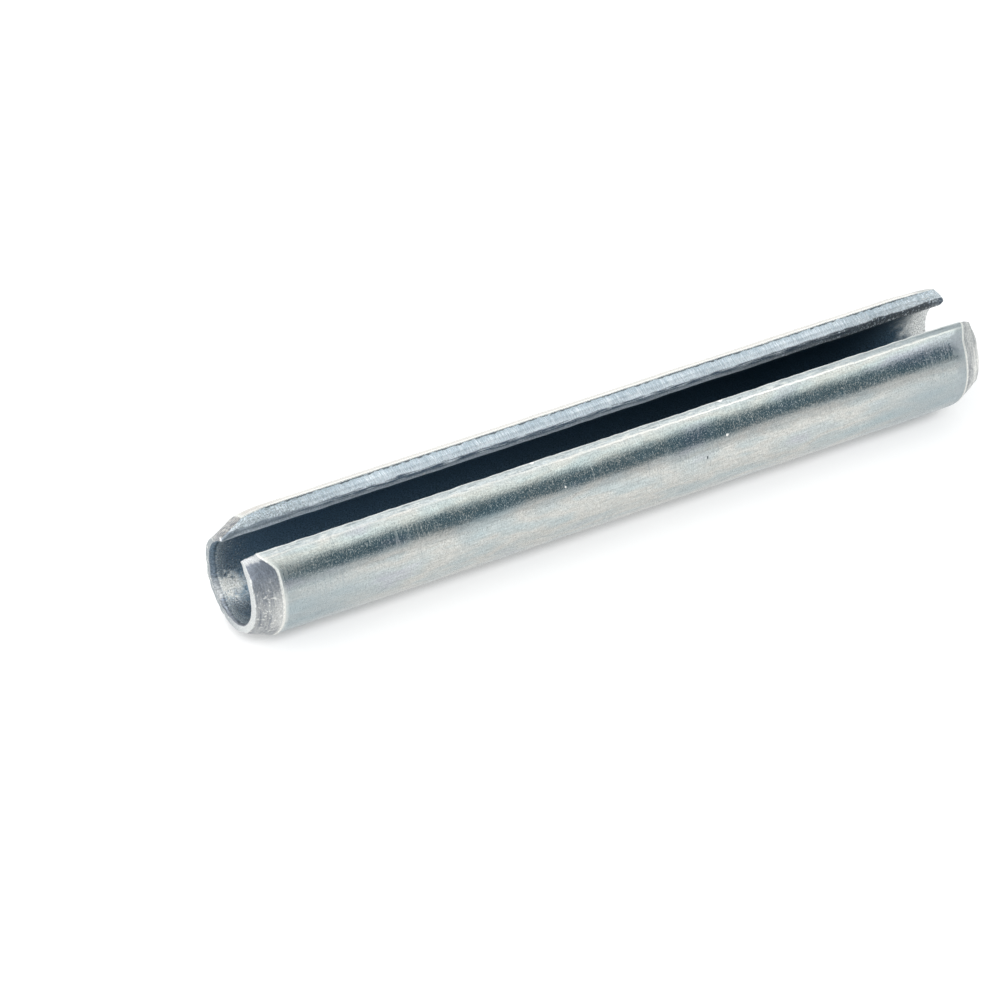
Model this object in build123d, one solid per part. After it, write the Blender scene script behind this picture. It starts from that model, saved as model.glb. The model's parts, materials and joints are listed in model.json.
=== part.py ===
from build123d import *

import os
from math import asin, cos, degrees, hypot, sin

# A slotted spring pin: a strip of spring steel, rolled into an open tube and tapered at both ends.
# The pin lies along X, with the middle of its axis at the origin. The slot faces +Z, which is how
# the pin comes to rest, because the metal missing there leaves it heavier on the other side. The
# front lip is on the -Y side of the slot and the rear lip on the +Y side. Lengths are millimetres.

# The rolled strip, with the sizes that it has before it is driven into its hole
length = 55.0
outer_diameter = 8.5
wall = 1.5
slot_width = 3.4  # straight across, between the outer corners of the lips

# The end tapers that lead the pin into its hole
taper_length = 1.8
taper_depth = 0.7  # how far the outside comes in, measured on the radius
taper_blend_radius = 1.2
bore_edge_break = 0.1

# The strip's sheared edges: each one has a corner that the shear rolled over and one left sharp
front_lip_outer_rollover = 0.5
rear_lip_inner_rollover = 0.8

outer_radius = outer_diameter / 2
bore_radius = outer_radius - wall
end_radius = outer_radius - taper_depth
slot_half_angle = asin(slot_width / outer_diameter)


def wall_profile():
    """The wall cut lengthwise, drawn with X along the axis and Y as the distance from it."""
    end = length / 2
    shoulder = end - taper_length
    outline = Polyline(
        (-end, bore_radius),
        (-end, end_radius),
        (-shoulder, outer_radius),
        (shoulder, outer_radius),
        (end, end_radius),
        (end, bore_radius),
        close=True,
    )
    profile = make_face(outline)
    return fillet(profile.vertices().group_by(Axis.Y)[-1], taper_blend_radius)


def from_axis(edge):
    """How far the middle of an edge is from the pin's axis."""
    middle = edge @ 0.5
    return hypot(middle.Y, middle.Z)


def towards_lip(side):
    """The direction from the axis to a lip's flat: side is -1 for the front lip and 1 for the rear."""
    return Vector(0, side * sin(slot_half_angle), cos(slot_half_angle))


def lip_flat(pin, side):
    """The flat of one lip, found by the point in the middle of its wall."""
    return pin.faces().sort_by_distance(towards_lip(side) * (bore_radius + wall / 2))[0]


def roll_strip():
    """The wall's profile turned about the axis, from the front lip round to the rear one."""
    along = Vector(1, 0, 0)
    front = Plane(origin=(0, 0, 0), x_dir=along, z_dir=along.cross(towards_lip(-1)))
    return revolve(front * wall_profile(), axis=Axis.X, revolution_arc=360 - 2 * degrees(slot_half_angle))


def round_lips(pin):
    """The pin with the front lip's outer corner and the rear lip's inner corner rolled over."""
    outer_corner = lip_flat(pin, -1).edges().filter_by(lambda edge: from_axis(edge) > end_radius)
    pin = fillet(outer_corner, front_lip_outer_rollover)
    inner_corner = lip_flat(pin, 1).edges().sort_by(from_axis)[0]
    return fillet(inner_corner, rear_lip_inner_rollover)


def break_bore_edges(pin):
    """The pin with the sharp edge taken off the bore at both ends."""
    faces = pin.faces().sort_by(Axis.X)
    bore_edges = [end_face.edges().sort_by(from_axis)[0] for end_face in (faces[0], faces[-1])]
    return chamfer(bore_edges, bore_edge_break)


spring_pin = break_bore_edges(round_lips(roll_strip()))

os.makedirs("parts", exist_ok=True)
export_step(spring_pin, "parts/spring_pin.step")
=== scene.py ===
"""A slotted spring pin of zinc-plated spring steel, rolled from a flat strip, on a white table."""

import json
import math
from functools import partial

import bmesh
import bpy
import numpy as np
from bpy.props import FloatProperty, FloatVectorProperty, PointerProperty
from mathutils import Matrix, Vector, noise


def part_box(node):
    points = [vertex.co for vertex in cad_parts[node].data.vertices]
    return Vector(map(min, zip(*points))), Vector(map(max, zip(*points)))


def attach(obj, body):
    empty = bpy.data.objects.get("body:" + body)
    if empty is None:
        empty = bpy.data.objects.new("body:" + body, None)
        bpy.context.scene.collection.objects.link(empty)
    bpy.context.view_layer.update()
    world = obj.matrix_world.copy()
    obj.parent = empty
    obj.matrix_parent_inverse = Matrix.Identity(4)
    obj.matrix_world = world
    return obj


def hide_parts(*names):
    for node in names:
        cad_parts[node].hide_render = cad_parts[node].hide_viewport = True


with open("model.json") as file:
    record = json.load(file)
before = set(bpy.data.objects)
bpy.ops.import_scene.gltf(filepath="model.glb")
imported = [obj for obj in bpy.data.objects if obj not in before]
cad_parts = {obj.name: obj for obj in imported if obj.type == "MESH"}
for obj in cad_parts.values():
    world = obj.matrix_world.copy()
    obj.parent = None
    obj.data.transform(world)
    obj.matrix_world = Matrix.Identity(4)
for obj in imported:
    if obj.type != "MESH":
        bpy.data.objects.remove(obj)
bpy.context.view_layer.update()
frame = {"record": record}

bl_info = {
    "name": "Slotted spring pin",
    "version": (1, 0, 0),
    "blender": (4, 5, 0),
    "location": "3D View > Sidebar > Spring pin",
    "description": "Rolls a slotted spring pin from a flat strip and sets it on a white table",
    "category": "Object",
}

MM = 0.001
MOUNTS = {mount["name"]: mount["dims"] for mount in frame["record"]["mounts"]}
LOWEST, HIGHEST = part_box("spring_pin")
SHANK_RADIUS = MOUNTS["shank"]["r_mm"]
BORE_RADIUS = MOUNTS["bore"]["r_mm"]
PIN_LENGTH = (HIGHEST.x - LOWEST.x) / MM
# Attributes of the pin's mesh, both in mm.
FLAT_PLACE = "flat_place"
WALL_DEPTH = "wall_depth"
# Settings that many nodes share.
SMOOTH = {"interpolation_type": "SMOOTHSTEP"}
TIMES = {"operation": "MULTIPLY"}
COLOURS = {"data_type": "RGBA"}

# How far the bore's edge is rounded at the near end, in mm. Each place round the pin, here and
# below, is a part of the way from the bottom to a lip: 1 is the front lip and -1 the rear one.
NEAR_BORE_BREAK = ((-0.9, -0.7, -0.2, 0, 0.85, 1), (0.2, 0.34, 0.34, 0.2, 0.2, 0.05))

# Where round the pin the rolls left its outside less than round: the start, both ends of the
# flattest part, and the stop.
FLATTENED = (0, 0.22, 0.32, 0.66)

# How unevenly the press worked at each end, in mm: how far before the shoulder its marks begin, how
# far the shoulder runs out towards the end beside each lip, how much deeper than even the press
# went, and how much further out the end stands.
NEAR_PRESS = {
    "lead": 1.8,
    "front_turn": 0.9,
    "rear_turn": 0.1,
    "deeper": (
        (-1, -0.88, -0.75, -0.6, -0.3, 0, 0.27, 0.6, 1), (0.42, 0.38, 0.24, -0.04, -0.04, 0.05, 0, 0.05, 0)
    ),
    "longer": ((0,), (0,)),
}
FAR_PRESS = {
    "lead": 2.5,
    "front_turn": 0.45,
    "rear_turn": 0.8,
    "deeper": (
        (-1, -0.8, -0.6, 0.1, 0.27, 0.5, 0.6, 0.85, 1), (0.2, 0.2, 0.05, 0.08, 0.08, 0, 0, 0.05, 0.3)
    ),
    "longer": ((-1, -0.8, 0.3, 0.5, 0.7, 0.85, 1), (0.1, 0, 0, 0.1, 0.2, 0.3, 0.42)),
}

# Where burrs stand up from the front lip's edge, along X, with their height and reach, and the
# middle and reach of each other small mark, as places on the flat strip, all in mm.
BURRS = (-6.4, 7.93)
BURR_HEIGHT = 0.2
BURR_REACH = 0.25
FLECKS_OUTSIDE = (
    ((-6.4, -0.75, 9.5), (0.16, 1, 0.14)), ((7.93, -0.75, 9.5), (0.18, 1, 0.14)),
    ((7.55, -0.75, 7.5), (0.12, 1, 0.09)), ((-4.75, -0.75, 7.6), (0.07, 1, 0.07)),
)
NICKS_OUTSIDE = (((5.85, -0.75, 6.6), (0.05, 1, 0.12)),)
FLECKS_SHEARED = (((-12.6, 0.75, -9.2), (0.1, 0.2, 0.16)), ((25.43, 0.08, -9.56), (0.3, 0.06, 1)))


def linear(hex_colour):
    """An sRGB hex colour as the linear RGBA that shaders take."""
    parts = [int(hex_colour[i:i + 2], 16) / 255 for i in (1, 3, 5)]
    return (*[c / 12.92 if c <= 0.04045 else ((c + 0.055) / 1.055) ** 2.4 for c in parts], 1)


def size(name, default, description):
    """A size in millimetres that the panel shows."""
    description += ", in mm"
    return FloatProperty(name=name, description=description, default=default, min=0, precision=3)


def turn(name, default, description):
    """An angle that the panel shows in degrees."""
    return FloatProperty(name=name, description=description, default=math.radians(default), subtype="ANGLE")


def tint(name, hex_colour, description):
    """A colour that the panel shows."""
    colour = linear(hex_colour)
    return FloatVectorProperty(
        name=name, description=description, default=colour, size=4, subtype="COLOR", min=0, max=1
    )


class PinSizes(bpy.types.PropertyGroup):
    """The strip, its tapers and its sheared edges, in millimetres."""

    length: size("Length", PIN_LENGTH, "From end to end")
    outer_radius: size("Outer radius", SHANK_RADIUS, "Of the rolled strip")
    bore_radius: size("Bore radius", BORE_RADIUS, "Of the hole through it")
    slot_width: size("Slot width", 3.4, "Between the lips' outer corners")
    near_taper: size("Near taper", 1.8, "Length of the taper at the -X end")
    far_taper: size("Far taper", 1.4, "Length of the taper at the +X end, where the press went less far")
    taper_depth: size("Taper depth", 0.7, "How far a taper brings the outside in")
    shoulder_blend: size("Shoulder blend", 0.1, "Rounding where a taper starts")
    bore_break: size("Bore edge", 0.22, "Rounding of the bore's edge at the +X end")
    edge_round: size("Edge rounding", 0.05, "On every other sharp edge")
    front_rollover: size("Front rollover", 0.5, "How far in from the front lip the outside drops")
    front_drop: size("Front drop", 0.2, "How deep it drops there")
    rear_rollover: size("Rear rollover", 0.8, "How far in from the rear lip the inside drops")
    rear_drop: size("Rear drop", 0.75, "How deep it drops there")
    torn_reach: size("Torn reach", 0.384, "How far round that rollover the torn metal goes")
    break_depth: size("Break depth", 0.03, "Where the shear's smooth cut turns into torn metal")
    flatness: size("Flatness", 0.23, "How far short of round the rolls left the outside, low on the front")
    unevenness: size("Unevenness", 0.05, "How far the sheared and pressed edges wander")


class PinMesh(bpy.types.PropertyGroup):
    """How finely the strip is divided, in millimetres."""

    across: size("Across", 0.25, "Spacing of the cuts across the strip")
    lip: size("Lip", 0.09, "Spacing of the cuts in the last millimetre before each lip")
    through: size("Through", 0.15, "Spacing of the cuts through the wall")
    along: size("Along", 0.21, "Spacing of the cuts along the pin")
    along_taper: size("Along taper", 0.12, "Spacing of the cuts along each taper")


class PinFinish(bpy.types.PropertyGroup):
    """The colours of the plating and of the steel under it."""

    zinc: tint("Zinc", "#bec4c3", "Most of the outside")
    zinc_mint: tint("Mint", "#b3c0c2", "Where the passivate film is thick")
    zinc_warm: tint("Warm", "#cac9c4", "Where the passivate film is thin")
    # Used darker towards both ends, except near the front lip and on the back.
    zinc_dull: tint("Dull", "#9ca9ae", "Towards both ends, where the plating is thicker")
    zinc_lilac: tint("Lilac", "#bdbdc5", "Where the passivate film is of middling thickness")
    rolled_over: tint("Rolled over", "#cdd2d3", "Flaky zinc on the front lip's rollover")
    sheared: tint("Sheared", "#f0f6fa", "Zinc on the sheared faces")
    torn: tint("Torn", "#bac7d0", "Zinc on the torn part of the sheared faces")
    pressed: tint("Pressed", "#70767f", "Zinc on the pressed tapers")
    end_face: tint("End face", "#c3c8cb", "Zinc on the flat of each end")
    inner_corner: tint("Inner corner", "#566676", "Thin zinc on the rear lip's rolled-over inner corner")
    # Worn is the colour of scratches and rubbed edges, and also of painted highlights and painted light.
    worn_and_highlight: tint("Worn", "#f2f1ec", "Edges rubbed bright")
    smudge: tint("Smudge", "#8f989c", "Marks of dull film along the lower half")
    # Back and Cream are painted sheen on the outside near the rear lip; Cream also colours the flecks.
    zinc_back_sheen: tint("Back", "#ddd6cf", "The outside further round from the rear lip")
    cream: tint("Cream", "#fdfaf4", "The outside beside the rear lip, rubbed smooth")
    crack: tint("Crack", "#3a4248", "Steel that shows where the zinc has come off a corner")
    bore: tint("Bore", "#42596a", "Steel in the bore, where hardly any zinc reached")
    # Painted light in the bore towards the near end.
    bore_lit_near_end: tint("Bore, near", "#7f96a8", "The same at the -X end, where a little more zinc reached")


def add_node(tree, kind, *values, stops=(), **settings):
    """Adds a node with its settings, gives its inputs values or links, and returns its output.

    The values are for its live inputs in order, or one dict of them by name. A ramp also takes
    its stops.
    """
    made = tree.nodes.new("ShaderNode" + kind)
    for name, value in settings.items():
        setattr(made, name, value)
    if values and isinstance(values[0], dict):
        given = [(made.inputs[name], value) for name, value in values[0].items()]
    else:
        given = zip([socket for socket in made.inputs if socket.enabled], values)
    for socket, value in given:
        if isinstance(value, bpy.types.NodeSocket):
            tree.links.new(value, socket)
        else:
            socket.default_value = value
    if stops:
        for position, colour in stops:
            made.color_ramp.elements.new(position).color = colour
        made.color_ramp.elements.remove(made.color_ramp.elements[-1])
        made.color_ramp.elements.remove(made.color_ramp.elements[0])
    return next((socket for socket in made.outputs if socket.enabled), None)


def new_material(name):
    """An empty material, and add_node for its tree."""
    material = bpy.data.materials.new(name)
    material.use_nodes = True
    material.node_tree.nodes.clear()
    return material, partial(add_node, material.node_tree)


def only(obj):
    """Makes obj the only thing selected, and the active one."""
    bpy.ops.object.select_all(action="DESELECT")
    obj.select_set(True)
    bpy.context.view_layer.objects.active = obj


def select_points(obj, test):
    """In edit mode, selects only the points that pass the test, and what lies between them."""
    bpy.ops.mesh.select_mode(type="VERT")
    bpy.ops.mesh.select_all(action="DESELECT")
    mesh = bmesh.from_edit_mesh(obj.data)
    for point in mesh.verts:
        point.select_set(test(point.co / MM))
    mesh.select_flush(True)
    bmesh.update_edit_mesh(obj.data)


def select_edges(obj, test):
    """In edit mode, selects only the edges whose two ends pass the test together."""
    bpy.ops.mesh.select_mode(type="EDGE")
    bpy.ops.mesh.select_all(action="DESELECT")
    mesh = bmesh.from_edit_mesh(obj.data)
    for edge in mesh.edges:
        edge.select_set(test(edge.verts[0].co / MM, edge.verts[1].co / MM))
    bmesh.update_edit_mesh(obj.data)


def near(a, b):
    """Whether two places in mm are the same, but for rounding."""
    return abs(a - b) < 1e-4


def cut_across(axis, places):
    """In edit mode, cuts the whole mesh by planes square to an axis."""
    normal = [0, 0, 0]
    normal[axis] = 1
    for place in places:
        bpy.ops.mesh.select_all(action="SELECT")
        bpy.ops.mesh.bisect(plane_co=[place * MM * part for part in normal], plane_no=normal)


def apply_modifier(obj, kind, **settings):
    """Adds a modifier with these settings and applies it."""
    only(obj)
    bpy.ops.object.modifier_add(type=kind)
    modifier = obj.modifiers[-1]
    for name, value in settings.items():
        setattr(modifier, name, value)
    bpy.ops.object.modifier_apply(modifier=modifier.name)


def wander(places, spacing, seed):
    """Smooth noise between -1 and 1 at each place, with this spacing along each axis, in mm."""
    # Each seed reads its own part of the noise.
    seed_step = 17.3
    scaled = places / np.array(spacing) + seed * seed_step
    return np.array([noise.noise(place) for place in scaled.tolist()])


def waves(flat, slow_spacing, quick_spacing, seed):
    """A slow and a quick noise along the flat strip, with these spacings in mm."""
    lengthwise = flat * (1, 0, 0)
    slow = wander(lengthwise, (slow_spacing, 1, 1), seed)
    return slow, wander(lengthwise, (quick_spacing, 1, 1), seed + 1)


def ease(value, start, stop):
    """A smooth rise from 0 at start to 1 at stop."""
    part = np.clip((value - start) / (stop - start), 0, 1)
    return part * part * (3 - 2 * part)


def rounding(distance, reach):
    """How far, from 0 to 1, a quarter of an ellipse has dropped at this distance from its edge."""
    return 1 - np.sqrt(1 - np.clip(1 - distance / reach, 0, 1) ** 2)


def flat_place(add):
    """Where a point lay on the flat strip, in mm: the place, and its x, y and z."""
    place = add("Attribute", attribute_name=FLAT_PLACE).node.outputs["Vector"]
    return place, *add("SeparateXYZ", place).node.outputs


def plated_surface(add, colour, metal, rough, height, depth):
    """Ends a material with these inputs, and a relief whose depth is in mm."""
    bump = add("Bump", {"Height": height, "Distance": depth * MM, "Strength": 1})
    shader = {"Base Color": colour, "Metallic": metal, "Roughness": rough, "Normal": bump}
    add("OutputMaterial", add("BsdfPrincipled", shader))


def shoulder_highlights(add, x, shoulders):
    """A mask of the bright line along each shoulder, about 0.2 mm wide: partly a rubbed edge, partly a
    painted highlight.
    """
    highlight_lines = 0
    for shoulder in shoulders:
        away = add("Math", add("Math", x, shoulder, operation="SUBTRACT"), operation="ABSOLUTE")
        line = add("MapRange", away, 0.13, 0.05, 0, 0.95, **SMOOTH)
        highlight_lines = add("Math", highlight_lines, line, operation="MAXIMUM")
    return highlight_lines


def spots(add, place, marks):
    """A mask that is 1 in the middle of each mark and 0 outside it."""
    mask = 0
    for middle, reach in marks:
        away = add("VectorMath", place, middle, operation="SUBTRACT")
        away = add("VectorMath", away, [1 / part for part in reach], **TIMES)
        spot = add("MapRange", add("VectorMath", away, operation="LENGTH"), 1, 0.7)
        mask = add("Math", mask, spot, operation="MAXIMUM")
    return mask


class SPRINGPIN_OT_roll_pin(bpy.types.Operator):
    """Rolls the pin from a flat strip with pressed ends and sheared edges"""

    bl_idname = "springpin.roll_pin"
    bl_label = "Roll the pin"

    def execute(self, context):
        sizes = context.scene.pin_sizes
        mesh = context.scene.pin_mesh
        self.measure(sizes)
        strip = self.cut_blank()
        self.press_tapers(strip, sizes, mesh)
        self.divide(strip, sizes, mesh)
        self.note_flat_places(strip)
        self.tell_faces_apart(strip, sizes, context.scene.pin_finish)
        self.wear(strip, sizes)
        self.roll(strip)
        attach(strip, "root")
        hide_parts("spring_pin")
        return {"FINISHED"}

    def measure(self, sizes):
        """The strip's sizes: length along X, wall along Y with the outside at -Y, width along Z."""
        self.middle_radius = (sizes.outer_radius + sizes.bore_radius) / 2
        self.turn = 2 * math.pi - 2 * math.asin(sizes.slot_width / 2 / sizes.outer_radius)
        self.half_length = sizes.length / 2
        self.half_wall = (sizes.outer_radius - sizes.bore_radius) / 2
        self.half_width = self.turn * self.middle_radius / 2
        self.shoulders = (sizes.near_taper - self.half_length, self.half_length - sizes.far_taper)
        self.front_rollover = sizes.front_rollover

    def cut_blank(self):
        """A block as long, thick and wide as the strip."""
        bpy.ops.object.select_all(action="DESELECT")
        blank = (self.half_length, self.half_wall, self.half_width)
        bpy.ops.mesh.primitive_cube_add(size=2, scale=[side * MM for side in blank])
        strip = bpy.context.object
        strip.name = "rolled_pin"
        bpy.ops.object.transform_apply(location=True, rotation=True, scale=True)
        return strip

    def press_tapers(self, strip, sizes, mesh):
        """Thins the strip at both ends, blends the shoulders and takes the sharpness off its edges."""
        wall = 2 * self.half_wall
        cuts = np.linspace(-self.half_wall, self.half_wall, round(wall / mesh.through) + 1)
        only(strip)
        bpy.ops.object.mode_set(mode="EDIT")
        cut_across(1, cuts[1:-1])
        cut_across(0, self.shoulders)
        select_points(strip, lambda p: near(abs(p.x), self.half_length))
        bpy.ops.transform.resize(
            value=(1, 1 - sizes.taper_depth / wall, 1), center_override=(0, self.half_wall * MM, 0)
        )
        select_edges(
            strip,
            lambda a, b: any(near(a.x, shoulder) for shoulder in self.shoulders) and near(a.x, b.x)
            and near(a.y, -self.half_wall) and near(b.y, -self.half_wall),
        )
        bpy.ops.mesh.bevel(offset=sizes.shoulder_blend * MM, segments=2, clamp_overlap=False)
        bpy.ops.object.mode_set(mode="OBJECT")
        apply_modifier(
            strip, "BEVEL", width=sizes.edge_round * MM, segments=2, limit_method="ANGLE",
            angle_limit=math.radians(50), use_clamp_overlap=False,
        )

    def divide(self, strip, sizes, mesh):
        """Cuts the strip finely enough to roll round and to show its edges' unevenness."""
        # The cuts stay clear of the bevels.
        beside_edge = sizes.edge_round * 1.3
        beside_blend = sizes.shoulder_blend * 1.2
        lip_zone = 1.0
        inner = self.half_width - lip_zone
        lip_cuts = np.arange(inner, self.half_width - beside_edge, mesh.lip)
        middle_cuts = np.linspace(-inner, inner, round(2 * inner / mesh.across) + 1)[1:-1]
        only(strip)
        bpy.ops.object.mode_set(mode="EDIT")
        cut_across(2, [*-lip_cuts, *middle_cuts, *lip_cuts])
        for shoulder in self.shoulders:
            side = math.copysign(1, shoulder)
            start = abs(shoulder) + beside_blend
            stop = self.half_length - beside_edge
            cut_across(0, side * np.linspace(start, stop, round((stop - start) / mesh.along_taper) + 1))
        straight = self.shoulders[1] - self.shoulders[0]
        select_edges(strip, lambda a, b: abs(a.x - b.x) > straight / 2)
        bpy.ops.mesh.subdivide(number_cuts=round(straight / mesh.along) - 1)
        bpy.ops.object.mode_set(mode="OBJECT")

    def points_of(self, strip):
        """The strip's points, in millimetres."""
        flat = np.empty(3 * len(strip.data.vertices))
        strip.data.vertices.foreach_get("co", flat)
        return flat.reshape(-1, 3) / MM

    def note_flat_places(self, strip):
        """Keeps where each point lay on the flat strip, in millimetres, for the patterns."""
        places = strip.data.attributes.new(FLAT_PLACE, "FLOAT_VECTOR", "POINT")
        places.data.foreach_set("vector", self.points_of(strip).ravel())

    def tell_faces_apart(self, strip, sizes, finish):
        """Gives the outside, the lips, the pressed ends and the bore their own finish."""
        for make in (zinc_on_rolled_strip, zinc_on_sheared_edge, zinc_on_pressed_end, thin_zinc_in_bore):
            strip.data.materials.append(make(self, finish))
        outside, lip, pressed, bore = range(4)
        # The least part of a face's normal that points out of a lip, or into the bore.
        out_of_lip, into_bore = 0.6, 0.4
        for face in strip.data.polygons:
            x, y, z = face.center / MM
            if abs(face.normal.z) > out_of_lip or (y > 0 and z < sizes.torn_reach - self.half_width):
                face.material_index = lip
            elif face.normal.y > into_bore or y > self.half_wall - self.bore_break(sizes, x, z):
                face.material_index = bore
            elif not self.shoulders[0] < x < self.shoulders[1]:
                face.material_index = pressed
            else:
                face.material_index = outside
        only(strip)
        bpy.ops.object.shade_smooth()

    def bore_break(self, sizes, x, z):
        """How far the bore's edge is rounded at the end that x is nearer to."""
        return np.where(x < 0, np.interp(z / self.half_width, *NEAR_BORE_BREAK), sizes.bore_break)

    def wear(self, strip, sizes):
        """Moves the flat strip's points as the press, the shear and handling did, a little unevenly."""
        flat = self.points_of(strip)
        x, y, _ = flat.T
        pressed = np.maximum(
            (self.shoulders[0] - x) / sizes.near_taper, (x - self.shoulders[1]) / sizes.far_taper
        )
        pressed = np.clip(pressed, 0, 1)
        wall = 2 * self.half_wall - sizes.taper_depth * pressed
        outness = np.clip((self.half_wall - y) / wall, 0, 1)

        moved = flat.copy()
        self.square_corner(flat, outness, moved)
        self.press_unevenly(sizes, flat, outness, moved)
        self.roll_corners_over(sizes, flat, outness, pressed, wall, moved)
        self.tear_lips(sizes, flat, outness, moved)
        self.round_bore_edges(sizes, flat, outness, moved)
        over_surface = flat * (1, 0, 1)
        dents = wander(over_surface, (4.5, 1, 2.6), 9) + 0.5 * wander(over_surface, (1.1, 1, 1.3), 10)
        dent_depth = 0.035
        moved[:, 1] += dent_depth * dents

        depths = strip.data.attributes.new(WALL_DEPTH, "FLOAT", "POINT")
        depths.data.foreach_set("value", moved[:, 1].copy())
        strip.data.vertices.foreach_set("co", (moved * MM).ravel())
        strip.data.update()

    def square_corner(self, flat, outness, moved):
        """Squares up the front lip's inner corner at the near end, as the press did."""
        x, _, z = flat.T
        width, length, into_wall, into_slot = 1.1, 1.4, 0.38, 0.12
        squared = ease(z, self.half_width - width, self.half_width)
        squared = squared * ease(-x, self.half_length - length, self.half_length)
        moved[:, 1] -= into_wall * squared * (1 - outness)
        moved[:, 2] += into_slot * squared * (1 - outness)

    def press_unevenly(self, sizes, flat, outness, moved):
        """Flattens the outside low on the front, and makes the shoulders and tapers uneven."""
        x, _, z = flat.T
        part_round = z / self.half_width
        start, flattest, last_flattest, stop = FLATTENED
        flatter = ease(part_round, start, flattest) * (1 - ease(part_round, last_flattest, stop))
        moved[:, 1] += sizes.flatness * flatter * outness

        front_zone, rear_zone, lip, fade = 1.4, 1.8, 0.1, 2.5
        beside_front = ease(z, self.half_width - front_zone, self.half_width - lip)
        beside_rear = ease(-z, self.half_width - rear_zone, self.half_width - lip)
        ends = (
            (-1, self.shoulders[0] - x, sizes.near_taper, NEAR_PRESS),
            (1, x - self.shoulders[1], sizes.far_taper, FAR_PRESS),
        )
        for side, beyond, taper, press in ends:
            weight = np.where(beyond > 0, 1 - beyond / taper, 1 - ease(-beyond, 0, fade))
            turned = weight * (press["front_turn"] * beside_front + press["rear_turn"] * beside_rear)
            turned += ease(beyond, -press["lead"], 0) * np.interp(part_round, *press["longer"])
            moved[:, 0] += side * turned
            deeper = np.interp(part_round, *press["deeper"])
            moved[:, 1] += ease(beyond, -press["lead"], taper) * outness * deeper

    def roll_corners_over(self, sizes, flat, outness, pressed, wall, moved):
        """Drops the outside beside the front lip and the inside beside the rear lip, as the shear did."""
        from_front = self.half_width - flat[:, 2]
        from_rear = self.half_width + flat[:, 2]
        slow, quick = waves(flat, 3.1, 0.7, seed=1)
        reach = sizes.front_rollover * (1 + 0.15 * slow + 0.07 * quick)
        # The press flattened most of this drop again on the tapers.
        depth = sizes.front_drop * (1 + 0.2 * slow + 0.14 * quick) * (1 - 0.7 * ease(pressed, 0, 0.6))
        facet = np.clip(1 - from_front / reach, 0, 1)
        moved[:, 1] += depth * (rounding(from_front, reach) + facet) / 2 * outness ** 2

        slow, quick = waves(flat, 2.6, 0.55, seed=3)
        reach = sizes.rear_rollover * (1 + 0.14 * slow + 0.05 * quick)
        depth = sizes.rear_drop * (1 + 0.15 * slow + 0.1 * quick) * wall / (2 * self.half_wall)
        moved[:, 1] -= depth * rounding(from_rear, reach) * (1 - outness) ** 1.5

    def tear_lips(self, sizes, flat, outness, moved):
        """Sets back the torn part of both lips, and makes their outer corners ragged."""
        x, y, z = flat.T
        side = np.sign(z)
        lip_zone, lip_edge, rear_corner = 0.25, 0.02, 0.07
        at_lip = ease(np.abs(z), self.half_width - lip_zone, self.half_width - lip_edge)
        # The tear's border runs near the middle of the wall, with the same waves as the rear rollover.
        slow, quick = waves(flat, 2.6, 0.55, seed=3)
        border = 0.02 + 0.18 * slow + 0.1 * quick
        torn = ease(y, border - 0.12, border + 0.16)
        rough = wander(flat, (0.35, 0.3, 3), 5)
        moved[:, 2] -= side * at_lip * torn * (sizes.break_depth + sizes.unevenness * 0.5 * rough)
        ragged = wander(flat * (1, 0, 1), (0.3, 1, 9), 6)
        at_corner = ease(outness, 0.45, 1.0) * at_lip
        moved[:, 2] -= side * at_corner * sizes.unevenness * (0.6 + ragged)
        moved[:, 2] += np.where(z < 0, rear_corner, 0) * at_corner
        for burr in BURRS:
            at_burr = 1 - ease(np.abs(x - burr), 0, BURR_REACH)
            moved[:, 2] += np.where(z > 0, BURR_HEIGHT, 0) * at_corner * at_burr

    def round_bore_edges(self, sizes, flat, outness, moved):
        """Rounds the bore's edge at both ends, and leaves the end faces ragged."""
        x, y, z = flat.T
        over_surface = flat * (1, 0, 1)
        from_end = self.half_length - np.abs(x)
        rounded_zone, ragged_zone = 1.2, 0.5
        reach = self.bore_break(sizes, x, z)
        drop = reach * rounding(self.half_wall - y, reach)
        moved[:, 0] -= np.sign(x) * drop * (1 - ease(from_end, 0, rounded_zone))
        at_end = 1 - ease(from_end, 0, ragged_zone)
        ragged = wander(over_surface, (9, 1, 0.8), 7) + 0.6 * wander(over_surface, (9, 1, 0.3), 8)
        moved[:, 0] -= np.sign(x) * at_end * sizes.unevenness * (0.8 + ragged)
        moved[:, 1] += at_end * outness * sizes.unevenness * ragged

    def roll(self, strip):
        """Rolls the strip about X, turns its slot up and puts its axis on the X axis."""
        apply_modifier(strip, "SIMPLE_DEFORM", deform_method="BEND", deform_axis="X", angle=self.turn)
        bpy.ops.object.mode_set(mode="EDIT")
        bpy.ops.mesh.select_all(action="SELECT")
        bpy.ops.transform.translate(value=(0, -self.middle_radius * MM, 0))
        bpy.ops.transform.rotate(value=math.radians(-90), orient_axis="X", center_override=(0, 0, 0))
        bpy.ops.object.mode_set(mode="OBJECT")


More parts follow.
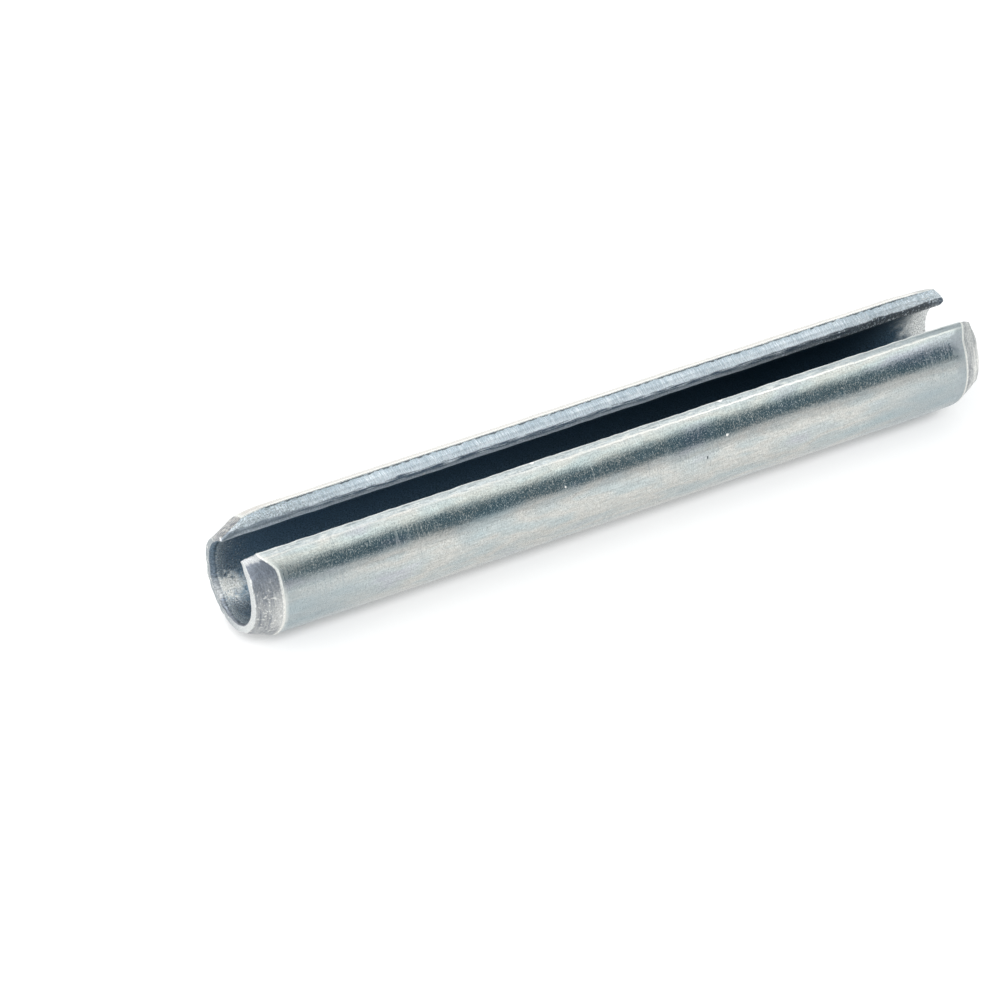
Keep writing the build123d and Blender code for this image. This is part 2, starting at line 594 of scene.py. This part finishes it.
def zinc_on_rolled_strip(pin, finish):
    """Bright zinc electroplate with a clear blue passivate, on strip drawn through rolls."""
    material, add = new_material("zinc_on_rolled_strip")
    place, x, _, z = flat_place(add)

    # The passivate film's thickness drifts over some millimetres, and its colour with it.
    film = add("TexNoise", add("VectorMath", place, (0.14, 0.2, 0.55), **TIMES), 1, 5)
    colour = add(
        "ValToRGB", film,
        stops=(
            (0.3, finish.zinc_lilac), (0.43, finish.zinc), (0.52, finish.zinc_warm),
            (0.59, finish.zinc), (0.7, finish.zinc_mint),
        ),
    )
    # Zinc crystals are a few hundredths of a millimetre across, and are drawn three times as coarse.
    grain = add("TexNoise", place, 9, 2)
    shade = add("Math", grain, 0.7, 0.63, operation="MULTIPLY_ADD")
    # The rolls' marks run round the pin, 0.15 mm wide and a millimetre or more long.
    streaks = add("TexNoise", add("VectorMath", place, (6, 1, 0.8), **TIMES), 1, 3)
    scratches = add("TexNoise", add("VectorMath", place, (10, 1, 0.7), **TIMES), 1, 1)
    scratches = add("MapRange", scratches, 0.5, 0.78, **SMOOTH)
    groups = add("TexNoise", add("VectorMath", place, (0.35, 0.35, 0.2), **TIMES), 1, 2)
    groups = add("MapRange", groups, 0.48, 0.66, 0.15, 1)
    scratches = add("Math", scratches, groups, **TIMES)
    # Fine lines from drawing the strip run along it, and painted shade makes it a little darker below its
    # top.
    drawn = add("TexNoise", add("VectorMath", place, (0.7, 1, 13), **TIMES), 1, 3)
    drawn = add("Math", drawn, 0.55, 0.73, operation="MULTIPLY_ADD")
    shade = add("Math", shade, drawn, **TIMES)
    shade = add("Math", shade, add("MapRange", z, 6.6, 5.4, 1, 0.93), **TIMES)
    colour = add("Mix", 1, colour, shade, **COLOURS, blend_type="MULTIPLY")
    scratched = add("Math", scratches, 0.16, **TIMES)
    colour = add("Mix", scratched, colour, finish.worn_and_highlight, **COLOURS)
    # Dark scuffs run round the pin in a few groups, in a part of the noise that nothing else uses.
    elsewhere = (40, 0, 0)
    scuffs = add("VectorMath", place, (9, 1, 0.5), elsewhere, operation="MULTIPLY_ADD")
    scuffs = add("MapRange", add("TexNoise", scuffs, 1, 1), 0.56, 0.7, 0, 0.4, **SMOOTH)
    groups = add("VectorMath", place, (0.5, 0.3, 0.2), elsewhere, operation="MULTIPLY_ADD")
    groups = add("MapRange", add("TexNoise", groups, 1, 2), 0.54, 0.62)
    scuffs = add("Math", scuffs, groups, **TIMES)
    colour = add("Mix", scuffs, colour, finish.smudge, **COLOURS)

    # The shear rolled the outside over beside the front lip, and the zinc there is dull and flaky.
    from_lip = add("Math", pin.half_width, z, operation="SUBTRACT")
    wavy = add("TexNoise", add("VectorMath", place, (1.7, 1, 2), **TIMES), 1, 4)
    edge = add("Math", wavy, 0.16, from_lip, operation="MULTIPLY_ADD")
    border = pin.front_rollover + 0.06
    rolled = add("MapRange", edge, border, border - 0.1, **SMOOTH)
    flaky = add("Mix", 1, finish.rolled_over, shade, **COLOURS, blend_type="MULTIPLY")
    flakes = add("TexNoise", add("VectorMath", place, (1.5, 1, 11), **TIMES), 1, 4)
    flakes = add("MapRange", flakes, 0.5, 0.66, 0, 0.75, **SMOOTH)
    flaky = add("Mix", flakes, flaky, finish.worn_and_highlight, **COLOURS)
    dashes = add("TexNoise", add("VectorMath", place, (1.1, 1, 9), **TIMES), 1, 3)
    dashes = add("MapRange", dashes, 0.44, 0.34, 0, 0.7, **SMOOTH)
    flaky = add("Mix", dashes, flaky, finish.smudge, **COLOURS)
    flaky = add("Mix", add("MapRange", x, 12, 25, 0, 0.6), flaky, finish.smudge, **COLOURS)
    colour = add("Mix", rolled, colour, flaky, **COLOURS)

    # Painted highlights: a bright line runs where the rollover starts, and another on the lip's own corner.
    from_border = add("Math", add("Math", edge, border, operation="SUBTRACT"), operation="ABSOLUTE")
    rubbed = add("MapRange", from_border, 0.07, 0.02, **SMOOTH)
    rubbed = add("Math", rubbed, add("MapRange", x, -8, 10, 0.3, 1), **TIMES)
    rubbed = add("Math", rubbed, add("MapRange", x, 14, 22, 1, 0.5), **TIMES)
    corner = add("MapRange", from_lip, 0.16, 0.06, **SMOOTH)
    rubbed = add("Math", rubbed, add("Math", corner, 0.75, **TIMES), operation="MAXIMUM")
    colour = add("Mix", rubbed, colour, finish.worn_and_highlight, **COLOURS)

    # Painted sheen: the back is paler and warmer, and paler still beside the rear lip.
    from_rear = add("Math", pin.half_width, z, operation="ADD")
    back = add("MapRange", from_rear, 3, 1.5, 0, 0.8, **SMOOTH)
    colour = add("Mix", back, colour, finish.zinc_back_sheen, **COLOURS)
    smooth = add("MapRange", from_rear, 0.5, 0.3, 0, 0.9, **SMOOTH)
    colour = add("Mix", smooth, colour, finish.cream, **COLOURS)
    # Darker towards both ends, except near the front lip and on the back, and a painted highlight beside
    # the near shoulder.
    from_middle = add("Math", x, operation="ABSOLUTE")
    towards_end = add("MapRange", from_middle, 16, 24, 0, 0.7, **SMOOTH)
    towards_end = add("Math", towards_end, add("MapRange", z, 7.8, 6), **TIMES)
    towards_end = add("Math", towards_end, add("MapRange", z, -4, -1), **TIMES)
    colour = add("Mix", towards_end, colour, finish.zinc_dull, **COLOURS)
    near_shoulder, far_shoulder = pin.shoulders
    beside = add("MapRange", x, near_shoulder + 0.4, near_shoulder + 0.1, 0, 0.4, **SMOOTH)
    colour = add("Mix", beside, colour, finish.worn_and_highlight, **COLOURS)
    # The press burnished the last of the outside before the far shoulder.
    wavy = add("TexNoise", place, 1.2, 3)
    burnished = add("Math", wavy, 2.2, x, operation="MULTIPLY_ADD")
    burnished = add("MapRange", burnished, far_shoulder, far_shoulder + 0.7, **SMOOTH)
    paler = add("Math", burnished, 0.4, **TIMES)
    colour = add("Mix", paler, colour, finish.end_face, **COLOURS)
    # Smudges of dull film lie along the lower half.
    smudges = add("TexNoise", add("VectorMath", place, (0.8, 1, 4.5), **TIMES), 1, 4)
    smudges = add("MapRange", smudges, 0.56, 0.7, 0, 0.42, **SMOOTH)
    smudges = add("Math", smudges, add("MapRange", z, 6.5, 4.5), **TIMES)
    smudges = add("Math", smudges, add("MapRange", z, -3, 0), **TIMES)
    colour = add("Mix", smudges, colour, finish.smudge, **COLOURS)
    # Each shoulder has a rubbed edge with a painted highlight, and there are a few nicks and flecks.
    highlight_lines = shoulder_highlights(add, x, pin.shoulders)
    colour = add("Mix", highlight_lines, colour, finish.worn_and_highlight, **COLOURS)
    nicks = spots(add, place, NICKS_OUTSIDE)
    colour = add("Mix", nicks, colour, finish.crack, **COLOURS)
    flecks = spots(add, place, FLECKS_OUTSIDE)
    colour = add("Mix", flecks, colour, finish.cream, **COLOURS)

    # Single crystals, scratches, worn edges and burnished zinc spread the light more.
    sparks = add("TexNoise", add("VectorMath", place, (17, 1, 11), **TIMES), 1, 3)
    sparks = add("MapRange", sparks, 0.5, 0.74, **SMOOTH)
    rough = add("Math", streaks, 0.16, 0.08, operation="MULTIPLY_ADD")
    rough = add("Math", sparks, 0.47, rough, operation="MULTIPLY_ADD")
    rough = add("Math", scratches, 0.2, rough, operation="MULTIPLY_ADD")
    rough = add("Math", rolled, 0.25, rough, operation="MULTIPLY_ADD")
    rough = add("Math", burnished, 0.35, rough, operation="MULTIPLY_ADD")
    rough = add("Math", add("MapRange", x, -22, -25.5), 0.12, rough, operation="MULTIPLY_ADD")
    rough = add("Math", highlight_lines, 0.3, rough, operation="MULTIPLY_ADD")
    # Painted highlights on the shoulders and the lip's corner are less metallic, so they stay bright.
    worn_and_highlight = add("Math", highlight_lines, corner, operation="MAXIMUM")
    metal = add("Math", worn_and_highlight, -0.5, 0.95, operation="MULTIPLY_ADD")
    metal = add("Math", flecks, -0.9, metal, operation="MULTIPLY_ADD")
    height = add("Math", streaks, 0.6, grain, operation="MULTIPLY_ADD")
    plated_surface(add, colour, metal, rough, height, 0.006)
    return material


def zinc_on_sheared_edge(pin, finish):
    """Matt zinc on the strip's sheared edges: scored by the blade, and torn where they broke off."""
    material, add = new_material("zinc_on_sheared_edge")
    place, x, _, z = flat_place(add)
    depth = add("Attribute", attribute_name=WALL_DEPTH).node.outputs["Fac"]
    grain = add("TexNoise", place, 11, 2)

    # The blade's scores are 0.1 mm apart and lean, because the strip slid along under it.
    leaning = add("Math", depth, -0.39, x, operation="MULTIPLY_ADD")
    across = add("VectorMath", add("CombineXYZ", leaning, depth), (14, 1.5, 0), **TIMES)
    scores = add("TexNoise", across, 1, 3)
    burnish = add("Math", depth, 0.34, scores, operation="MULTIPLY_ADD")
    patches = add("TexNoise", add("VectorMath", place, (0.9, 1, 1), **TIMES), 1, 3)
    burnish = add("Math", patches, 0.5, burnish, operation="MULTIPLY_ADD")
    burnish = add("MapRange", burnish, 0.5, 0.84)
    colour = add("Mix", burnish, finish.torn, finish.sheared, **COLOURS)
    # Towards both ends the plating is mottled.
    mottle = add("MapRange", add("TexNoise", place, 6.5, 5), 0.44, 0.58, 0.1, 0.9)
    far = add("MapRange", x, 17, 24, 0, 0.6)
    towards_end = add("Math", far, add("MapRange", x, -17, -24), operation="MAXIMUM")
    mottle = add("Math", mottle, towards_end, **TIMES)
    colour = add("Mix", mottle, colour, finish.smudge, **COLOURS)

    # The torn part is streaked lengthwise, and darkest at the far end.
    along = add("VectorMath", add("CombineXYZ", x, depth), (0.8, 20, 0), **TIMES)
    tears = add("Math", depth, -0.36, add("TexNoise", along, 1, 4), operation="MULTIPLY_ADD")
    tears = add("MapRange", tears, 0.4, 0.55)
    near = add("MapRange", x, -17, -24)
    tears = add("Mix", near, tears, add("MapRange", tears, 0, 1, 0.2, 0.5), data_type="FLOAT")
    tears = add("Mix", tears, finish.inner_corner, finish.sheared, **COLOURS)
    # A painted highlight: the torn part ends in a bright rim where the bore begins.
    from_lip = add("Math", pin.half_width, z, operation="ADD")
    rim_highlight = add("MapRange", from_lip, 0.12, 0.3, 0, 0.9)
    tears = add("Mix", rim_highlight, tears, finish.sheared, **COLOURS)
    dark = add("MapRange", x, 8, 22, 0, 0.95)
    speckle = add("MapRange", add("TexNoise", place, 9, 3), 0.63, 0.54)
    dark = add("Math", dark, speckle, **TIMES)
    dark = add("Math", dark, add("MapRange", x, 25.6, 26.9, 1, 0.35), **TIMES)
    tears = add("Mix", dark, tears, finish.crack, **COLOURS)
    wavy = add("TexNoise", add("VectorMath", place, (0.6, 0.1, 0.1), **TIMES), 1, 4)
    border = add("Math", wavy, -0.5, depth, operation="MULTIPLY_ADD")
    torn = add("MapRange", border, -0.23, -0.13, **SMOOTH)
    colour = add("Mix", torn, colour, tears, **COLOURS)
    shade = add("Math", grain, 1.1, 0.43, operation="MULTIPLY_ADD")
    colour = add("Mix", 1, colour, shade, **COLOURS, blend_type="MULTIPLY")

    # The outer corner is nicked, and dark steel shows in the nicks.
    nicks = add("TexNoise", add("VectorMath", place, (2.5, 4, 4), **TIMES), 1, 3)
    nicks = add("Math", nicks, 0.35, depth, operation="MULTIPLY_ADD")
    nicks = add("MapRange", nicks, -0.46, -0.52, 0, 0.85, **SMOOTH)
    colour = add("Mix", nicks, colour, finish.crack, **COLOURS)
    colour = add("Mix", spots(add, place, FLECKS_SHEARED), colour, finish.cream, **COLOURS)
    rough = add("Math", scores, 0.4, 0.3, operation="MULTIPLY_ADD")
    height = add("Math", scores, 1.2, grain, operation="MULTIPLY_ADD")
    plated_surface(add, colour, 0.0, rough, height, 0.015)
    return material


def zinc_on_pressed_end(pin, finish):
    """The same zinc on the tapers and end faces, which the press left dull, flecked and ringed."""
    material, add = new_material("zinc_on_pressed_end")
    place, x, y, z = flat_place(add)
    grain = add("TexNoise", place, 10, 3)
    shade = add("Math", grain, 1.2, 0.38, operation="MULTIPLY_ADD")
    rings = add("TexNoise", add("VectorMath", place, (9, 0.3, 0.5), **TIMES), 1, 2)
    patches = add("TexNoise", add("VectorMath", place, (1.2, 0.5, 0.6), **TIMES), 1, 3)

    # Painted light: the lower half and the far end are lighter, in rings and above all beside the shoulder.
    from_shoulder = add("Math", x, pin.shoulders[0], operation="SUBTRACT")
    from_shoulder = add("MapRange", add("Math", from_shoulder, operation="ABSOLUTE"), 1.3, 0.2, 0.25, 0.42)
    low = add("MapRange", z, 8.4, 6.2, **SMOOTH)
    far = add("MapRange", x, 0, 1, 0, 0.62)
    lit = add("Math", add("Math", low, from_shoulder, **TIMES), far, operation="MAXIMUM")
    ringed = add("MapRange", add("Math", rings, patches, operation="ADD"), 0.75, 1.15, 0.3, 1.35)
    lit = add("Math", lit, ringed, **TIMES)
    colour = add("Mix", lit, finish.pressed, finish.worn_and_highlight, **COLOURS)

    # The end face is bright, and painted highlights brighten its outer edge, the shoulder and the corners
    # at the lips.
    from_end = add("Math", pin.half_length, add("Math", x, operation="ABSOLUTE"), operation="SUBTRACT")
    end_face = add("MapRange", from_end, 0.06, 0.01, 0, 0.8)
    plated = add("Mix", add("MapRange", z, -2, 2, 0.3, 1), finish.smudge, finish.end_face, **COLOURS)
    colour = add("Mix", end_face, colour, plated, **COLOURS)
    ragged = add("TexNoise", place, 3, 3)
    outer_edge = add("Math", from_end, y, operation="MAXIMUM")
    outer_edge = add("Math", ragged, 0.3, outer_edge, operation="MULTIPLY_ADD")
    rubbed = add("MapRange", outer_edge, 0.26, 0.17, 0, 0.45, **SMOOTH)
    front_half = add("MapRange", z, 0, 2.5, 0.25, 1)
    rubbed = add("Math", rubbed, front_half, **TIMES)
    front_face = add("Math", end_face, add("MapRange", z, 0, 3, 0, 0.45), **TIMES)
    rubbed = add("Math", rubbed, front_face, operation="MAXIMUM")
    from_front = add("Math", pin.half_width, z, operation="SUBTRACT")
    from_front = add("Math", ragged, 0.5, from_front, operation="MULTIPLY_ADD")
    corner = add("MapRange", from_front, 0.8, 0.6, 0, 0.35, **SMOOTH)
    rubbed = add("Math", rubbed, corner, operation="MAXIMUM")
    # Beside the rear lip they have a painted sheen, with dull specks.
    from_rear = add("Math", pin.half_width, z, operation="ADD")
    smooth = add("MapRange", from_rear, 2.4, 1.2, 0, 0.5, **SMOOTH)
    colour = add("Mix", smooth, colour, finish.zinc_back_sheen, **COLOURS)
    speckle = add("MapRange", add("TexNoise", place, 5, 4), 0.44, 0.56, 0, 1.6)
    speckle = add("Math", speckle, smooth, **TIMES)
    colour = add("Mix", speckle, colour, finish.pressed, **COLOURS)
    rubbed = add("Math", rubbed, shoulder_highlights(add, x, pin.shoulders), operation="MAXIMUM")
    # Bright flecks, only on the lower half where the painted light falls.
    flecks = add("MapRange", add("TexNoise", place, 4.5, 3), 0.56, 0.68, 0, 0.6, **SMOOTH)
    flecks = add("Math", flecks, low, **TIMES)
    rubbed = add("Math", rubbed, flecks, operation="MAXIMUM")
    colour = add("Mix", rubbed, colour, finish.worn_and_highlight, **COLOURS)
    colour = add("Mix", 1, colour, shade, **COLOURS, blend_type="MULTIPLY")
    rough = add("Math", rings, 0.3, 0.3, operation="MULTIPLY_ADD")
    height = add("Math", rings, 1.2, grain, operation="MULTIPLY_ADD")
    plated_surface(add, colour, 0.85, rough, height, 0.02)
    return material


def thin_zinc_in_bore(pin, finish):
    """Hardened steel that the plating only reached at the ends, dark blue-grey further in, with painted
    light towards the near end.
    """
    material, add = new_material("thin_zinc_in_bore")
    place, x, _, z = flat_place(add)
    from_end = add("Math", pin.half_length, add("Math", x, operation="ABSOLUTE"), operation="SUBTRACT")
    far = add("MapRange", x, -1, 1)
    from_near_end = add("Math", far, 9, from_end, operation="MULTIPLY_ADD")

    # The plating thins out some 3 mm in, and comes apart into specks.
    reach = add("Math", add("TexNoise", place, 2, 4), 3, from_end, operation="MULTIPLY_ADD")
    plated = add("MapRange", reach, 4.6, 2.2, **SMOOTH)
    specks = add("Math", plated, 0.3, add("TexNoise", place, 12, 3), operation="MULTIPLY_ADD")
    specks = add("MapRange", specks, 0.6, 1.1, **SMOOTH)
    # Painted highlight: at the near end a band on one side is bright zinc colour, and less metallic.
    wavy = add("Math", z, -1.5, operation="ADD")
    wavy = add("Math", add("TexNoise", place, 3, 5), 3, wavy, operation="MULTIPLY_ADD")
    highlight_band = add("MapRange", wavy, -1, -2.3, 0, 0.95, **SMOOTH)
    highlight_band = add("Math", highlight_band, add("MapRange", wavy, -4, -3, **SMOOTH), **TIMES)
    highlight_band = add("Math", highlight_band, add("MapRange", from_end, 3.2, 1.6), **TIMES)
    bright = add("Mix", far, add("Math", highlight_band, 0.12, operation="MAXIMUM"), 0.6, data_type="FLOAT")
    bright = add("Math", bright, plated, **TIMES)
    zinc = add("Math", specks, bright, operation="MAXIMUM")
    # Painted glints: round that band, bright specks stand for single crystals catching the light.
    painted_glints = add("MapRange", add("TexNoise", place, 7, 2), 0.6, 0.68)
    painted_glints = add("Math", painted_glints, add("MapRange", wavy, 0.6, -1.2, 0, 0.9), **TIMES)
    painted_glints = add("Math", painted_glints, add("MapRange", from_near_end, 3, 1.5), **TIMES)
    zinc = add("Math", zinc, painted_glints, operation="MAXIMUM")
    # Hardly any zinc stayed on the near edge itself.
    edge = add("MapRange", from_near_end, 0.05, 0.02)
    zinc = add("Math", zinc, add("MapRange", edge, 0, 1, 1, 0.1), **TIMES)
    # The painted highlight band runs on over that edge.
    edge_highlight_band = add("Math", highlight_band, add("MapRange", z, -4, -2.2, 0.05, 0.4), **TIMES)
    edge_highlight_band = add("Math", edge_highlight_band, edge, **TIMES)
    zinc = add("Math", zinc, edge_highlight_band, operation="MAXIMUM")

    # Painted light: the steel is lighter towards the near end's opening, and painted shade darkens the
    # front half.
    deep = add("Math", add("MapRange", x, -22, 14), add("MapRange", z, -2, 0, 0, 0.35), operation="MAXIMUM")
    steel = add("Mix", deep, finish.bore_lit_near_end, finish.bore, **COLOURS)
    rounded = add("Mix", add("MapRange", z, -6.5, 0), finish.bore, finish.pressed, **COLOURS)
    steel = add("Mix", edge, steel, rounded, **COLOURS)
    colour = add("Mix", zinc, steel, finish.worn_and_highlight, **COLOURS)
    crystals = add("TexNoise", place, 8, 3)
    shade = add("Math", crystals, 2.4, -0.2, operation="MULTIPLY_ADD")
    colour = add("Mix", 1, colour, shade, **COLOURS, blend_type="MULTIPLY")
    rough = add("Math", plated, -0.25, 0.5, operation="MULTIPLY_ADD")
    rough = add("Math", highlight_band, 0.12, rough, operation="MULTIPLY_ADD")
    beside_edge = add("MapRange", from_near_end, 0.7, 0.1)
    rough = add("Math", beside_edge, 0.2, rough, operation="MULTIPLY_ADD")
    metal = add("Math", highlight_band, -0.5, 0.9, operation="MULTIPLY_ADD")
    plated_surface(add, colour, metal, rough, crystals, 0.03)
    return material


class Studio(bpy.types.PropertyGroup):
    """The camera and the light."""

    distance: size("Distance", 392.59, "Camera to aim point")
    azimuth: turn("Azimuth", 31.67, "Camera's turn round the pin")
    elevation: turn("Elevation", 41.84, "Camera's height angle")
    roll: turn("Roll", 3.92, "Camera's turn about its line of sight")
    lens: size("Lens", 213.06, "Focal length for a sensor 36 mm wide")
    aim: FloatVectorProperty(
        name="Aim", description="Point in the middle of the picture, in mm", default=(-6.505, 1.636, -2.259)
    )
    overhead: FloatProperty(name="Overhead light", description="How strong it is", default=1.45, min=0)
    side: FloatProperty(name="Side light", description="How strong it is", default=3.2, min=0)
    table_glow: FloatProperty(name="Table's white", description="Seen but not cast", default=0.63, min=0)


class SPRINGPIN_OT_stage(bpy.types.Operator):
    """Sets up the table, the studio's light and the camera"""

    bl_idname = "springpin.stage"
    bl_label = "Set the stage"

    def execute(self, context):
        studio = context.scene.pin_studio
        self.table(studio)
        self.light(context.scene, studio)
        self.camera(context.scene, studio)
        context.scene.view_settings.view_transform = "Standard"
        return {"FINISHED"}

    def table(self, studio):
        """A matt white table under the pin, white as the camera and the plating see it."""
        bpy.ops.object.select_all(action="DESELECT")
        bpy.ops.mesh.primitive_plane_add(size=2, location=(0, 0, LOWEST.z))
        table = bpy.context.object
        table.name = "white_table"
        material, add = new_material("white_table_top")
        path = add("LightPath").node.outputs
        seen = add("Math", path["Is Camera Ray"], path["Is Glossy Ray"], operation="MAXIMUM")
        # Painted shadow: ambient occlusion darkens the table's glow on the strip that the pin all but
        # touches.
        open_sky = add("AmbientOcclusion", {"Distance": 1 * MM}, samples=4).node.outputs["AO"]
        open_sky = add("MapRange", open_sky, 0.22, 0.6, 0.35, 1)
        seen = add("Math", seen, open_sky, **TIMES)
        glow = add("Emission", {"Strength": add("Math", seen, studio.table_glow, **TIMES)})
        add("OutputMaterial", add("AddShader", add("BsdfDiffuse", linear("#b3b3b3")), glow))
        table.data.materials.append(material)

    def light(self, scene, studio):
        """A white room with soft lights overhead and to the left, and a dark gap below the first."""
        world = bpy.data.worlds.new("white_studio")
        scene.world = world
        world.use_nodes = True
        world.node_tree.nodes.clear()
        add = partial(add_node, world.node_tree)
        x, _, height = add("SeparateXYZ", add("TexCoord").node.outputs["Generated"]).node.outputs
        # From the table up: pale walls, the gap, the overhead light's bluish fringe and its middle.
        walls, gap = linear("#eceef0"), linear("#3e5f6e")
        fringe = (*[studio.overhead * part for part in (0.92, 1, 0.99)], 1)
        soft = (*[studio.overhead * 0.9] * 3, 1)
        stops = ((0.2, walls), (0.31, gap), (0.635, gap), (0.74, fringe), (0.92, soft))
        room = add("ValToRGB", height, stops=stops)
        beside = add("MapRange", x, -0.4, -0.6, **SMOOTH)
        beside = add("Math", beside, add("MapRange", height, 0.15, 0.3), **TIMES)
        room = add("Mix", beside, room, (*[studio.side] * 3, 1), **COLOURS)
        path = add("LightPath").node.outputs
        white = add("Background", linear("#ffffff"))
        add("OutputWorld", add("MixShader", path["Is Camera Ray"], add("Background", room), white))

    def camera(self, scene, studio):
        """A camera at the studio's distance and angles from the point that it is aimed at."""
        turned = (
            Matrix.Rotation(-studio.azimuth, 4, "Z")
            @ Matrix.Rotation(math.radians(90) - studio.elevation, 4, "X")
            @ Matrix.Rotation(studio.roll, 4, "Z")
        )
        back = turned.to_3x3() @ Vector((0, 0, studio.distance))
        place = (Vector(studio.aim) + back) * MM
        bpy.ops.object.camera_add(location=place, rotation=turned.to_euler())
        camera = bpy.context.object
        camera.data.lens = studio.lens
        camera.data.sensor_width = 36
        camera.data.clip_start = 10 * MM
        scene.camera = camera


class SPRINGPIN_PT_panel(bpy.types.Panel):
    """Lists the pin's operators, sizes and colours"""

    bl_idname = "SPRINGPIN_PT_panel"
    bl_label = "Slotted spring pin"
    bl_space_type = "VIEW_3D"
    bl_region_type = "UI"
    bl_category = "Spring pin"

    def draw(self, context):
        for operator in (SPRINGPIN_OT_roll_pin, SPRINGPIN_OT_stage):
            self.layout.operator(operator.bl_idname)
        for name in GROUPS:
            group = getattr(context.scene, name)
            box = self.layout.box()
            for value in group.__annotations__:
                box.prop(group, value)


GROUPS = {"pin_sizes": PinSizes, "pin_mesh": PinMesh, "pin_finish": PinFinish, "pin_studio": Studio}
CLASSES = (*GROUPS.values(), SPRINGPIN_OT_roll_pin, SPRINGPIN_OT_stage, SPRINGPIN_PT_panel)


def register():
    for cls in CLASSES:
        bpy.utils.register_class(cls)
    for name, group in GROUPS.items():
        setattr(bpy.types.Scene, name, PointerProperty(type=group))


def unregister():
    for name in GROUPS:
        delattr(bpy.types.Scene, name)
    for cls in reversed(CLASSES):
        bpy.utils.unregister_class(cls)


def main():
    """Makes the pin and its stage."""
    register()
    bpy.ops.springpin.roll_pin()
    bpy.ops.springpin.stage()


if __name__ == "__main__":
    main()
